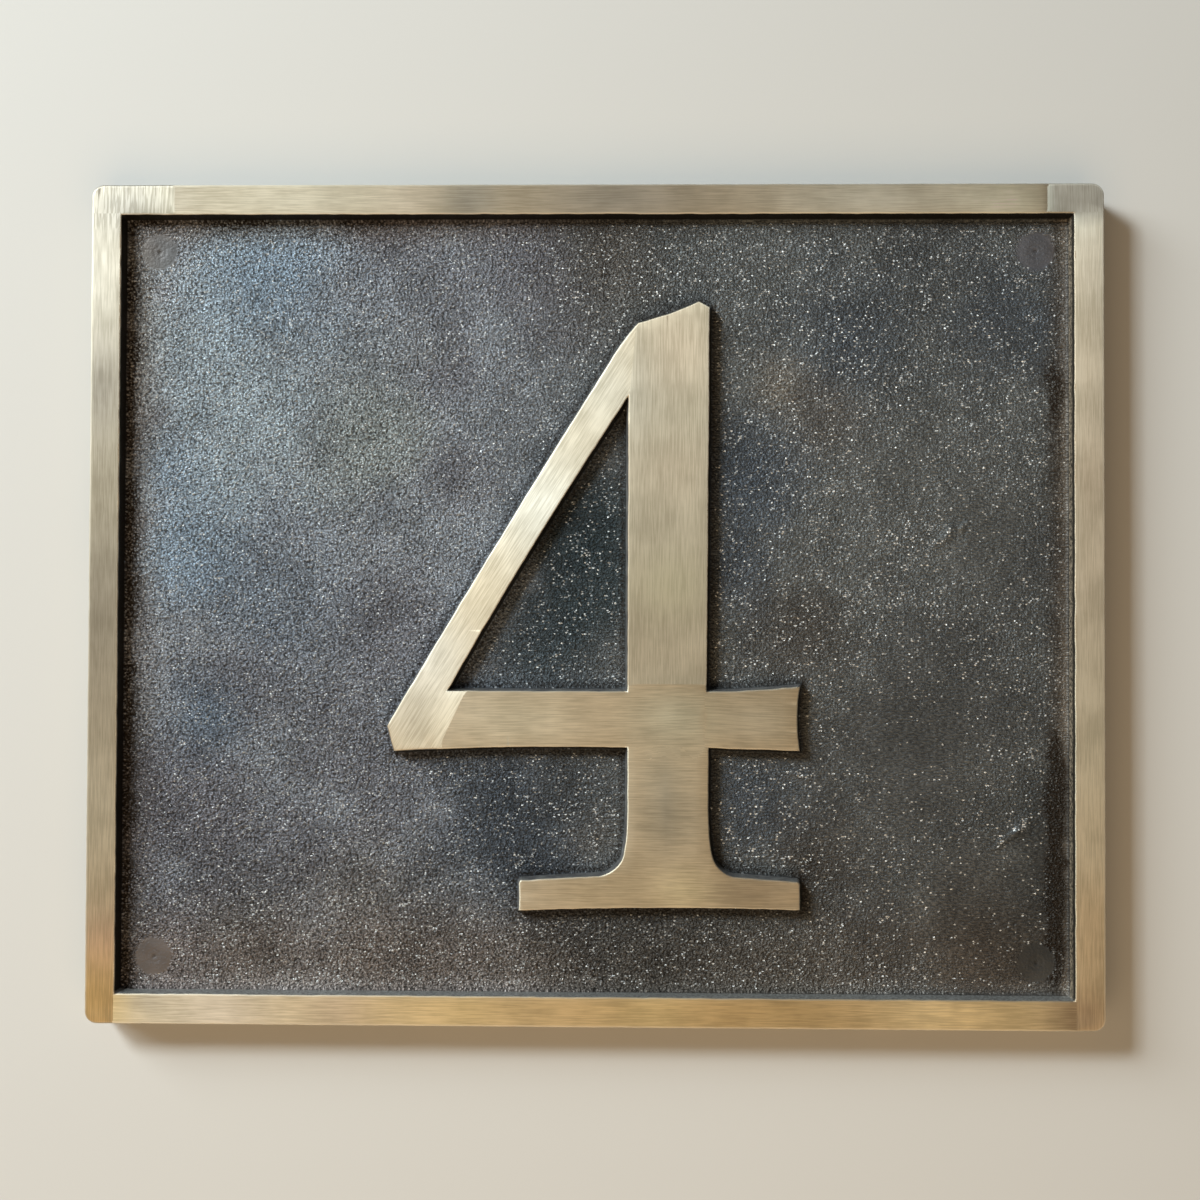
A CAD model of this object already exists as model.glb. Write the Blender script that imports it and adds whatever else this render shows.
import math
import bpy
import numpy as np
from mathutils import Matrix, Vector
from mathutils.geometry import delaunay_2d_cdt
from mathutils.kdtree import KDTree


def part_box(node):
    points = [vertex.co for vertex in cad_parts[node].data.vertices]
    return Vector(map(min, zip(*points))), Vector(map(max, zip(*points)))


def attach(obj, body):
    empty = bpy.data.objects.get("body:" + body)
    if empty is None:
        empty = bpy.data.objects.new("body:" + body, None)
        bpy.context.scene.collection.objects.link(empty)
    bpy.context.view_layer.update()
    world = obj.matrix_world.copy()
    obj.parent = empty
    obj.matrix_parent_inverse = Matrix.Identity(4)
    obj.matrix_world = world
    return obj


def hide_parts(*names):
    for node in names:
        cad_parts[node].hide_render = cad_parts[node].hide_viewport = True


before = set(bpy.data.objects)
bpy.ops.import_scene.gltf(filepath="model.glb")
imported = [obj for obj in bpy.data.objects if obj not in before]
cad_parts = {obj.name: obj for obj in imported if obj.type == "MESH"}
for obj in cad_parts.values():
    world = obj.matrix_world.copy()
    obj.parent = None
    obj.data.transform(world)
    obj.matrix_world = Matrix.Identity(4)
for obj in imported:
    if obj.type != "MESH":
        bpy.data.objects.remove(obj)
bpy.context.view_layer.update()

mm = 0.001
plaqueLow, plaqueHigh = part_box("plaque")
frontLevel = plaqueLow.y / mm      # y of the polished faces, mm
backLevel = plaqueHigh.y / mm


# Small helpers for node trees

def addNode(tree, kind, inputs=None, **settings):
    made = tree.nodes.new("ShaderNode" + kind)
    for name, value in settings.items():
        setattr(made, name, value)
    for socket, value in (inputs or {}).items():
        if isinstance(value, bpy.types.NodeSocket):
            tree.links.new(value, made.inputs[socket])
        else:
            made.inputs[socket].default_value = value
    return made


def noise(tree, vector, scale, detail=2.0, roughness=0.5, distortion=0.0, dimensions="3D"):
    made = addNode(tree, "TexNoise", {
        "Vector": vector, "Scale": scale, "Detail": detail,
        "Roughness": roughness, "Distortion": distortion}, noise_dimensions=dimensions)
    return made.outputs[0]


def ranged(tree, value, low, high, toLow=0.0, toHigh=1.0, smooth=False):
    kind = "SMOOTHSTEP" if smooth else "LINEAR"
    made = addNode(tree, "MapRange", {0: value, 1: low, 2: high, 3: toLow, 4: toHigh},
                   interpolation_type=kind)
    return made.outputs[0]


def between(tree, share, low, high):
    return ranged(tree, share, 0.0, 1.0, low, high)


def calc(tree, operation, first, second):
    return addNode(tree, "Math", {0: first, 1: second}, operation=operation).outputs[0]


def times(tree, first, second):
    return calc(tree, "MULTIPLY", first, second)


def plus(tree, first, second):
    return calc(tree, "ADD", first, second)


def minus(tree, first, second):
    return calc(tree, "SUBTRACT", first, second)


def mixed(tree, factor, first, second, blend="MIX"):
    made = addNode(tree, "Mix", {0: factor, 6: first, 7: second}, data_type="RGBA", blend_type=blend)
    return made.outputs[2]


def stretched(tree, vector, x, y, z):
    return addNode(tree, "VectorMath", {0: vector, 1: (x, y, z)}, operation="MULTIPLY").outputs[0]


def attribute(tree, name, output="Fac"):
    return addNode(tree, "Attribute", attribute_name=name).outputs[output]


def objectPlace(tree):
    return addNode(tree, "TexCoord").outputs["Object"]


# Place on the front, in steps of the given length across and width up, mm
def frontPlace(tree, length, width):
    spot = addNode(tree, "SeparateXYZ", {0: objectPlace(tree)}).outputs
    across = times(tree, spot["X"], 1 / (length * mm))
    up = times(tree, spot["Z"], 1 / (width * mm))
    return addNode(tree, "CombineXYZ", {"X": across, "Y": up}).outputs[0]


# Noise on the front, with lumps of the given size across and up, mm
def frontNoise(tree, size, detail, roughness, distortion=0.0):
    return noise(tree, frontPlace(tree, *size), 1.0, detail, roughness, distortion, "2D")


# Noise through the whole piece, with lumps of the given size, mm
def solidNoise(tree, place, size, detail, roughness):
    return noise(tree, place, 1 / (size * mm), detail, roughness)


def bumped(tree, height, strength, distance):
    made = addNode(tree, "Bump", {"Height": height, "Strength": strength, "Distance": distance * mm})
    return made.outputs[0]


def newFinish(name, **fixed):
    finish = bpy.data.materials.new(name)
    finish.use_nodes = True
    tree = finish.node_tree
    shader = tree.nodes["Principled BSDF"]
    for socket, value in fixed.items():
        shader.inputs[socket.replace("_", " ")].default_value = value
    return finish, tree, shader


# Links node outputs to the shader's sockets of these names
def feed(tree, shader, **outputs):
    for socket, output in outputs.items():
        tree.links.new(output, shader.inputs[socket.replace("_", " ")])


# Smooth random field, about -1 to 1, with lumps of the given size in mm
def lumps(x, z, cell, seed):
    size = 256
    lattice = np.random.default_rng(seed).uniform(-1, 1, (size, size))
    u = np.asarray(x) / cell
    v = np.asarray(z) / cell
    i = np.floor(u).astype(int)
    j = np.floor(v).astype(int)
    fu = u - i
    fv = v - j
    fu = fu * fu * (3 - 2 * fu)
    fv = fv * fv * (3 - 2 * fv)
    low = lattice[i % size, j % size] * (1 - fu) + lattice[(i + 1) % size, j % size] * fu
    high = lattice[i % size, (j + 1) % size] * (1 - fu) + lattice[(i + 1) % size, (j + 1) % size] * fu
    return low * (1 - fv) + high * fv


# Sum of such fields; each layer has a strength, a size in mm and a seed
def layered(x, z, layers):
    return sum(strength * lumps(x, z, size, seed) for strength, size, seed in layers)


def eased(value, low, high):
    t = np.clip((value - low) / (high - low), 0, 1)
    return t * t * (3 - 2 * t)


def bell(value):
    return np.exp(-value ** 2)


# Outlines of the polished faces, read from the CAD solid

def frontOutlines(nodeName):
    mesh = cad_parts[nodeName].data
    spots = [tuple(round(c / mm, 4) for c in v.co) for v in mesh.vertices]
    nextSpot = {}
    edges = set()
    for face in mesh.polygons:
        ring = [spots[i] for i in face.vertices]
        if all(abs(spot[1] - frontLevel) < 0.001 for spot in ring):
            for a, b in zip(ring, ring[1:] + ring[:1]):
                edges.add((a, b))
    for a, b in edges:
        if (b, a) not in edges:
            nextSpot[a] = b
    outlines = []
    while nextSpot:
        start = min(nextSpot)
        loop = [start]
        while True:
            spot = nextSpot.pop(loop[-1])
            if spot == start:
                break
            loop.append(spot)
        outlines.append(np.array([(spot[0], spot[2]) for spot in loop]))
    outlines.sort(key=lambda loop: -np.ptp(loop[:, 0]))
    return [counterClockwise(loop) for loop in outlines]


def counterClockwise(loop):
    after = np.roll(loop, -1, axis=0)
    area = np.sum(loop[:, 0] * after[:, 1] - after[:, 0] * loop[:, 1])
    return loop if area > 0 else loop[::-1]


# Cuts an outline at its corners and spaces points evenly along each run
def outlineRuns(loop, step, cornerTurn):
    ahead = np.roll(loop, -1, axis=0) - loop
    heading = np.arctan2(ahead[:, 1], ahead[:, 0])
    turn = (heading - np.roll(heading, 1) + np.pi) % (2 * np.pi) - np.pi
    corners = np.flatnonzero(np.abs(turn) > math.radians(cornerTurn))
    runs = []
    for k, first in enumerate(corners):
        last = corners[(k + 1) % len(corners)]
        span = (last - first) % len(loop) or len(loop)
        points = loop[(first + np.arange(span + 1)) % len(loop)]
        lengths = np.concatenate([[0], np.cumsum(np.linalg.norm(np.diff(points, axis=0), axis=1))])
        side = np.diff(points, axis=0)
        side = np.stack([side[:, 1], -side[:, 0]], axis=1) / np.linalg.norm(side, axis=1)[:, None]
        normals = np.concatenate([side[:1], (side[1:] + side[:-1]) / 2, side[-1:]])
        runs.append({
            "points": points, "lengths": lengths, "normals": normals,
            "count": max(1, round(lengths[-1] / step)),
            "startTurn": turn[first], "endTurn": turn[last]})
    return runs


edgeLayers = [(0.6, 2.6, 11), (0.5, 1.1, 12)]


# Mitred copy of an outline, moved sideways; positive is away from the inside of the loop
def movedOutline(runs, offset, waver):
    ring = []
    for run in runs:
        total = run["lengths"][-1]
        start = -offset * math.tan(run["startTurn"] / 2)
        end = total + offset * math.tan(run["endTurn"] / 2)
        along = start + (end - start) * np.arange(run["count"]) / run["count"]
        inside = np.clip(along, 0, total)
        x = np.interp(inside, run["lengths"], run["points"][:, 0])
        z = np.interp(inside, run["lengths"], run["points"][:, 1])
        nx = np.interp(inside, run["lengths"], run["normals"][:, 0])
        nz = np.interp(inside, run["lengths"], run["normals"][:, 1])
        size = np.hypot(nx, nz)
        nx = nx / size
        nz = nz / size
        beyond = along - inside          # past the end of the run, straight on
        wave = offset + waver * layered(x, z, edgeLayers)
        ring.append(np.stack([x + nx * wave - nz * beyond, z + nz * wave + nx * beyond], axis=1))
    return np.concatenate(ring)


# A mesh under construction: points in mm, faces with a finish number
def newShape():
    return {"points": [], "count": 0, "faces": [], "finish": []}


def addPoints(shape, x, y, z):
    x, y, z = np.broadcast_arrays(x, y, z)
    made = np.arange(shape["count"], shape["count"] + len(x))
    shape["points"].append(np.stack([x, y, z], axis=1))
    shape["count"] += len(x)
    return made


def addFaces(shape, faces, finish):
    shape["faces"] += faces
    shape["finish"] += [finish] * len(faces)


def addCircle(shape, cx, cz, radius, level, turn):
    return addPoints(shape, cx + radius * np.cos(turn), level, cz + radius * np.sin(turn))


def gridSpots(columns, rows):
    x, z = np.meshgrid(columns, rows)
    return np.stack([x.ravel(), z.ravel()], axis=1)


# Strip of quads between two rings, facing away from the inside of the loop, or into it
def joinRings(shape, upper, lower, finish, inward=False):
    upperNext = np.roll(upper, -1)
    lowerNext = np.roll(lower, -1)
    if inward:
        quads = np.stack([upper, upperNext, lowerNext, lower], axis=1)
    else:
        quads = np.stack([upper, lower, lowerNext, upperNext], axis=1)
    addFaces(shape, quads.tolist(), finish)


# Triangles between rings (even-odd), with free points inside and optional lines to keep
def fillRings(shape, rings, inside, level, finish, facing=1, keepLines=()):
    placed = np.concatenate(shape["points"])
    flat = [placed[ring][:, [0, 2]] for ring in rings]
    owners = list(np.concatenate(rings))
    spots = np.concatenate(flat + [np.asarray(inside).reshape(-1, 2)])
    owners += [None] * (len(spots) - len(owners))
    loops = []
    start = 0
    for ring in rings:
        loops.append(list(range(start, start + len(ring))))
        start += len(ring)
    lines = []
    extra = []
    for line in keepLines:
        first = len(spots) + len(extra)
        extra += list(line)
        lines += [(first + k, first + k + 1) for k in range(len(line) - 1)]
    owners += [None] * len(extra)
    vectors = [Vector(spot) for spot in list(spots) + extra]
    made, _, faces, fromSpots, _, fromLoops = delaunay_2d_cdt(vectors, lines, loops, 1, 1e-6)
    known = {}
    fresh = []
    for k, sources in enumerate(fromSpots):
        owner = next((owners[s] for s in sources if owners[s] is not None), None)
        if owner is None:
            fresh.append(k)
        else:
            known[k] = int(owner)
    spotsMade = np.array([made[k] for k in fresh]).reshape(-1, 2)
    heights = level(spotsMade[:, 0], spotsMade[:, 1]) if callable(level) else level
    freshIndex = addPoints(shape, spotsMade[:, 0], np.broadcast_to(heights, len(fresh)), spotsMade[:, 1])
    known.update(zip(fresh, freshIndex.tolist()))
    kept = [[known[v] for v in face][::facing] for face, source in zip(faces, fromLoops)
            if len(source) % 2 == 1]
    addFaces(shape, kept, finish)


# Distance from the nearest of these outlines, which are searched at steps of 0.25 mm
def nearestGap(points, *outlines, step=0.25):
    pieces = []
    for outline in outlines:
        for a, b in zip(outline, np.roll(outline, -1, axis=0)):
            count = max(1, int(np.linalg.norm(b - a) / step))
            pieces.append(a + (b - a) * (np.arange(count) / count)[:, None])
    dense = np.concatenate(pieces)
    tree = KDTree(len(dense))
    for k, spot in enumerate(dense):
        tree.insert((spot[0], spot[1], 0), k)
    tree.balance()
    return np.array([tree.find((p[0], p[1], 0))[2] for p in points])


def finishedMesh(name, shape, finishes):
    mesh = bpy.data.meshes.new(name)
    points = np.concatenate(shape["points"]) * mm
    mesh.from_pydata(points.tolist(), [], shape["faces"])
    for finish in finishes:
        mesh.materials.append(finish)
    mesh.polygons.foreach_set("material_index", shape["finish"])
    mesh.polygons.foreach_set("use_smooth", [True] * len(shape["faces"]))
    mesh.update()
    piece = bpy.data.objects.new(name, mesh)
    bpy.context.scene.collection.objects.link(piece)
    return piece


def addFields(mesh, fields, colours):
    for name, values in fields.items():
        mesh.attributes.new(name, "FLOAT", "POINT").data.foreach_set("value", values)
    for name, values in colours.items():
        mesh.attributes.new(name, "FLOAT_COLOR", "POINT").data.foreach_set("color", values.ravel())


# Camera, wall and lights

cameraSetup = {
    "place": (8.56, -325.4, -6.43),        # mm, close in front, a little right of the middle
    "turn": (91.275, -0.209, 1.345),       # degrees
    "lens": 57.0,
}


def makeCamera():
    data = bpy.data.cameras.new("camera")
    data.lens = cameraSetup["lens"]
    data.sensor_width = 36.0
    data.clip_start = 0.01
    camera = bpy.data.objects.new("camera", data)
    camera.location = [c * mm for c in cameraSetup["place"]]
    camera.rotation_euler = [math.radians(a) for a in cameraSetup["turn"]]
    bpy.context.scene.collection.objects.link(camera)
    bpy.context.scene.camera = camera


roomSetup = {
    "wallColour": (0.607, 0.613, 0.601, 1),
    "wallGap": 0.0004,            # m behind the back of the plate
    "wallOpening": 0.985,         # share of the plate's size left open behind it
    "wallReach": 0.9,
}


def makeRoom():
    look = roomSetup
    wallPaint, tree, shader = newFinish("wallPaint", Roughness=0.85, Base_Color=look["wallColour"])
    # Seen from behind, the wall lets the camera through to the back of the plate
    seeThrough = addNode(tree, "BsdfTransparent")
    behind = addNode(tree, "NewGeometry").outputs["Backfacing"]
    camera = addNode(tree, "LightPath").outputs["Is Camera Ray"]
    both = times(tree, behind, camera)
    pick = addNode(tree, "MixShader", {0: both, 1: shader.outputs[0], 2: seeThrough.outputs[0]})
    tree.links.new(pick.outputs[0], tree.nodes["Material Output"].inputs[0])

    reach = look["wallReach"]
    halfX = plaqueHigh.x * look["wallOpening"]
    halfZ = plaqueHigh.z * look["wallOpening"]
    y = look["wallGap"]
    outer = [(-reach, y, -reach), (reach, y, -reach), (reach, y, reach), (-reach, y, reach)]
    inner = [(-halfX, y, -halfZ), (halfX, y, -halfZ), (halfX, y, halfZ), (-halfX, y, halfZ)]
    mesh = bpy.data.meshes.new("wall")
    mesh.from_pydata(outer + inner, [], [(k, (k + 1) % 4, 4 + (k + 1) % 4, 4 + k) for k in range(4)])
    mesh.materials.append(wallPaint)
    wall = bpy.data.objects.new("wall", mesh)
    bpy.context.scene.collection.objects.link(wall)


lampSetup = {
    "key": {"place": (-0.42, -0.56, 0.34), "size": (0.15, 0.15), "power": 3.7,
            "colour": (0.94, 1.0, 1.0)},
    "window": {"place": (-0.83, -0.57, 0.53), "size": (0.5, 0.5), "power": 8.4,
               "colour": (0.94, 1.0, 1.0)},
    "bounce": {"place": (0.0, -0.38, -0.25), "size": (0.47, 0.33), "power": 0.78,
               "colour": (1.0, 0.66, 0.34)},
    "rear": {"place": (0.35, 0.75, 0.45), "size": (0.6, 0.6), "power": 8.0,
             "colour": (1.0, 0.98, 0.94)},
}
skySetup = {
    "above": (0.045, 0.045, 0.045, 1),
    "below": (0.25, 0.21, 0.16, 1),
    "horizon": (-0.35, 0.25),
}


def makeLights():
    for name, setup in lampSetup.items():
        data = bpy.data.lights.new(name, "AREA")
        data.shape = "RECTANGLE"
        data.size, data.size_y = setup["size"]
        data.energy = setup["power"]
        data.color = setup["colour"]
        lamp = bpy.data.objects.new(name, data)
        lamp.location = setup["place"]
        lamp.rotation_euler = (-Vector(setup["place"])).to_track_quat("-Z", "Y").to_euler()
        bpy.context.scene.collection.objects.link(lamp)

    # Dim surroundings, warm below
    world = bpy.data.worlds.new("surroundings")
    world.use_nodes = True
    bpy.context.scene.world = world
    tree = world.node_tree
    direction = addNode(tree, "TexCoord").outputs["Generated"]
    height = addNode(tree, "SeparateXYZ", {0: direction}).outputs["Z"]
    up = ranged(tree, height, *skySetup["horizon"], smooth=True)
    sky = mixed(tree, up, skySetup["below"], skySetup["above"])
    tree.links.new(sky, tree.nodes["Background"].inputs["Color"])


# Finishes of the plaque

groundLook = {
    "grainSize": (0.48, 0.44),         # mm across and up, one cell to a grain
    "grainRagged": 0.5,
    "grainReach": (0.45, 0.80),        # where a grain ends, from the middle of its cell
    "grainHeight": (0.1, 0.6),
    "skinSize": (0.52, 0.52),
    "skinHeight": 0.4,
    "meanHeight": 0.35,
    "sandRise": 0.60,                  # mm
    "sandShade": (0.12, 1.9),          # share of the patina's tone, from hollow to top
    "sandOnSmooth": 0.03,              # share of the sand's rise left on smooth casting
    "rippleSize": (0.9, 0.26),
    "rippleRise": (0.10, 0.01),        # on bare and on buffed ground, as shares of the sand's rise
    "rippleShade": (0.60, 1.45),
    "speckSize": (0.46, 0.31),
    "speckRagged": 0.9,
    "speckReach": (0.34, 0.66),
    "speckWear": 1.5,
    "clumpSize": (3.0, 3.0),
    "clumpShare": (0.3, 1.7),
    "grimeOnSpecks": 0.3,
    "grimeOnTops": 0.25,
    "roughness": (0.56, 0.48),
    "grainPolish": 0.06,
    "grimeDullness": 0.12,
    "glintColour": (0.86, 0.90, 0.92, 1),
    "soot": (0.022, 0.015, 0.009, 1),
}


def patinatedGround():
    look = groundLook
    finish, tree, shader = newFinish("patinatedGround", Metallic=0.7)
    patina = attribute(tree, "patina", "Color")
    names = ("grime", "grainy", "glint", "buffed")
    grime, grainy, glint, buffed = [attribute(tree, name) for name in names]

    # Ragged cells of one grain each: distance from the middle, and random numbers of the grain's own
    def grains(size, ragged):
        grid = frontPlace(tree, *size)
        shift = addNode(tree, "TexNoise", {"Vector": grid, "Scale": 2.2, "Detail": 1.0},
                        noise_dimensions="2D")
        moved = stretched(tree, shift.outputs["Color"], ragged, ragged, 0)
        bent = addNode(tree, "VectorMath", {0: grid, 1: moved}, operation="ADD").outputs[0]
        cells = addNode(tree, "TexVoronoi", {"Vector": bent, "Scale": 1.0}, voronoi_dimensions="2D")
        chance = addNode(tree, "SeparateColor", {0: cells.outputs["Color"]}).outputs
        return cells.outputs["Distance"], chance

    # Rounded top, falling off to nothing where the grain ends
    def dome(middle, end):
        return ranged(tree, middle, 0.08, end, 1.0, 0.0, smooth=True)

    # Sand: a rough skin, and on it grains that each have a height of their own
    middle, chance = grains(look["grainSize"], look["grainRagged"])
    reach = between(tree, chance[1], *look["grainReach"])
    grain = times(tree, dome(middle, reach), between(tree, chance[0], *look["grainHeight"]))
    skin = frontNoise(tree, look["skinSize"], 2.0, 0.6, 0.2)
    sand = plus(tree, grain, ranged(tree, skin, 0.30, 0.70, 0.0, look["skinHeight"]))
    streaks = frontNoise(tree, look["rippleSize"], 1.0, 0.5, 0.3)
    ripple = ranged(tree, streaks, 0.30, 0.70)
    evenShade = mixed(tree, buffed, between(tree, ripple, *look["rippleShade"]), (1, 1, 1, 1))
    sandShade = between(tree, sand, *look["sandShade"])
    coloured = mixed(tree, 1.0, patina, mixed(tree, grainy, evenShade, sandShade), "MULTIPLY")

    # Specks rubbed through to the metal, in loose clumps, some further than others
    middle, luck = grains(look["speckSize"], look["speckRagged"])
    clump = frontNoise(tree, look["clumpSize"], 2.0, 0.6)
    share = times(tree, glint, ranged(tree, clump, 0.35, 0.65, *look["clumpShare"]))
    over = minus(tree, share, luck[1])
    depth = ranged(tree, calc(tree, "DIVIDE", over, plus(tree, share, 0.001)), 0.0, 1.0)
    speck = dome(middle, between(tree, depth, *look["speckReach"]))
    wear = calc(tree, "POWER", depth, look["speckWear"])
    shown = times(tree, wear, between(tree, grime, 1.0, look["grimeOnSpecks"]))
    rubbed = times(tree, shown, ranged(tree, speck, 0.2, 0.7))
    bright = mixed(tree, rubbed, coloured, look["glintColour"])

    # Grime lies in the hollows, and not on the specks
    hollow = ranged(tree, sand, 0.15, 0.75, 1.0, look["grimeOnTops"])
    unrubbed = minus(tree, 1.0, rubbed)
    covered = times(tree, times(tree, grime, hollow), unrubbed)
    colour = mixed(tree, covered, bright, look["soot"])

    even = between(tree, ripple, *look["roughness"])
    glossy = minus(tree, even, times(tree, grainy, look["grainPolish"]))
    rough = plus(tree, glossy, times(tree, grime, look["grimeDullness"]))
    aboveMean = minus(tree, sand, look["meanHeight"])
    grainRise = times(tree, aboveMean, between(tree, grainy, look["sandOnSmooth"], 1.0))
    rippleRise = times(tree, ripple, between(tree, buffed, *look["rippleRise"]))
    height = plus(tree, grainRise, rippleRise)
    feed(tree, shader, Base_Color=colour, Roughness=rough,
         Normal=bumped(tree, height, 1.0, look["sandRise"]))
    return finish


bronzeLook = {
    "light": (0.63, 0.565, 0.435, 1),
    "dark": (0.465, 0.412, 0.305, 1),
    "worn": (0.92, 0.88, 0.76, 1),
    "strokeSize": (0.22, 6.0),         # mm across and along a brush mark
    "bandSize": (2.0, 18.0),
    "scoreSize": (0.36, 6.0),
    "strokeShare": 0.82,               # the rest is broad bands
    "scoreDepth": 1.5,
    "cloudSize": 9.0,
    "cloudDepth": 0.35,
    "roughness": (0.66, 0.60),
    "strokeRise": 0.05,                # mm
}


def brushMarks(tree, brush, size, detail):
    width, length = size
    place = stretched(tree, brush, 1 / (width * mm), 1 / (length * mm), 1)
    return noise(tree, place, 1.0, detail, 0.6, 0.0, "2D")


def brushedBronze():
    look = bronzeLook
    finish, tree, shader = newFinish("brushedBronze", Metallic=1.0, Anisotropic=0.66)
    brush = addNode(tree, "UVMap", uv_map="brush").outputs[0]
    fineMarks = brushMarks(tree, brush, look["strokeSize"], 3.0)
    bands = brushMarks(tree, brush, look["bandSize"], 2.0)
    scores = brushMarks(tree, brush, look["scoreSize"], 2.0)
    cloud = solidNoise(tree, objectPlace(tree), look["cloudSize"], 3.0, 0.55)

    marks = plus(tree, times(tree, fineMarks, look["strokeShare"]),
                 times(tree, bands, 1 - look["strokeShare"]))
    scored = times(tree, attribute(tree, "scored"),
                   ranged(tree, scores, 0.4, 0.6, -look["scoreDepth"], look["scoreDepth"]))
    lightness = plus(tree, ranged(tree, marks, 0.36, 0.64, 0.1, 0.9),
                     ranged(tree, cloud, 0.35, 0.65, -look["cloudDepth"], look["cloudDepth"]))
    bronze = mixed(tree, plus(tree, lightness, scored), look["dark"], look["light"])
    tinted = mixed(tree, 1.0, bronze, attribute(tree, "tint", "Color"), "MULTIPLY")
    across = addNode(tree, "Tangent", direction_type="UV_MAP", uv_map="brush").outputs[0]
    feed(tree, shader, Base_Color=mixed(tree, attribute(tree, "edge"), tinted, look["worn"]),
         Roughness=ranged(tree, marks, 0.35, 0.65, *look["roughness"]),
         Normal=bumped(tree, fineMarks, 0.12, look["strokeRise"]), Tangent=across)
    return finish


wallLook = {
    "dark": (0.22, 0.22, 0.225, 1),
    "pale": (0.37, 0.375, 0.37, 1),
    "lee": (0.030, 0.026, 0.022, 1),
    "line": (0.055, 0.050, 0.042, 1),
    "crust": (0.64, 0.55, 0.42, 1),     # sandy dirt in the foot of the rim
    "crustTop": (0.7, 1.5),             # mm below the polished face
    "sill": (0.50, 0.52, 0.52, 1),
    "gritOnSill": 0.5,
    "rainFrom": (-0.55, 0, 0.83),
    "blotchSize": 2.4,                  # mm
    "gritSize": 0.4,
    "gritRise": 0.06,
    "roughness": (0.4, 0.6),
}


def reliefWall():
    look = wallLook
    finish, tree, shader = newFinish("reliefWall", Metallic=0.8)
    place = objectPlace(tree)
    facing = addNode(tree, "NewGeometry").outputs["Normal"]

    def towards(direction):
        made = addNode(tree, "VectorMath", {0: facing, 1: direction}, operation="DOT_PRODUCT")
        return made.outputs["Value"]

    coarse = solidNoise(tree, place, look["blotchSize"], 3.0, 0.6)
    fine = solidNoise(tree, place, look["gritSize"], 2.0, 0.6)
    bare = mixed(tree, ranged(tree, coarse, 0.4, 0.65), look["dark"], look["pale"])
    # On the rim a sandy crust lies below a dark line, and the sill along the bottom is pale
    depth = addNode(tree, "SeparateXYZ", {0: place}).outputs["Y"]
    low, high = [(frontLevel + drop) * mm for drop in look["crustTop"]]
    onSide = ranged(tree, towards((-1, 0, 0)), 0.3, 0.8)
    grit = times(tree, ranged(tree, fine, 0.64, 0.36), between(tree, onSide, look["gritOnSill"], 1.0))
    crust = mixed(tree, grit, mixed(tree, onSide, look["sill"], look["crust"]), look["line"])
    lineHere = times(tree, ranged(tree, depth, low, high, 1.0, 0.0), onSide)
    caked = mixed(tree, lineHere, crust, look["line"])
    clean = mixed(tree, attribute(tree, "caked"), bare, caked)
    # Dirt stays on the walls that face away from the rain
    washed = ranged(tree, towards(look["rainFrom"]), -0.35, 0.35, smooth=True)
    feed(tree, shader, Base_Color=mixed(tree, washed, look["lee"], clean),
         Roughness=ranged(tree, fine, 0.3, 0.7, *look["roughness"]),
         Normal=bumped(tree, fine, 0.4, look["gritRise"]))
    return finish


sideLook = {
    "dull": (0.16, 0.12, 0.075, 1),
    "rubbed": (0.42, 0.34, 0.22, 1),
    "blotchSize": 9.0,                  # mm
    "skinSize": 0.7,
    "skinRise": 0.12,
    "fileWidth": 0.3,
    "fileStretch": 0.04,                # file marks run from front to back
    "roughness": (0.42, 0.62),
}


def dullCasting():
    look = sideLook
    finish, tree, shader = newFinish("dullCasting", Metallic=0.95)
    place = objectPlace(tree)
    blotch = solidNoise(tree, place, look["blotchSize"], 4.0, 0.6)
    skin = solidNoise(tree, place, look["skinSize"], 3.0, 0.6)
    filePlace = stretched(tree, place, 1, look["fileStretch"], 1)
    filed = solidNoise(tree, filePlace, look["fileWidth"], 2.0, 0.5)
    wear = plus(tree, ranged(tree, blotch, 0.35, 0.65, -0.1, 0.6),
                ranged(tree, filed, 0.3, 0.7, 0.0, 0.35))
    feed(tree, shader, Base_Color=mixed(tree, wear, look["dull"], look["rubbed"]),
         Roughness=ranged(tree, skin, 0.3, 0.7, *look["roughness"]),
         Normal=bumped(tree, skin, 0.35, look["skinRise"]))
    return finish


# The plaque

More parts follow.
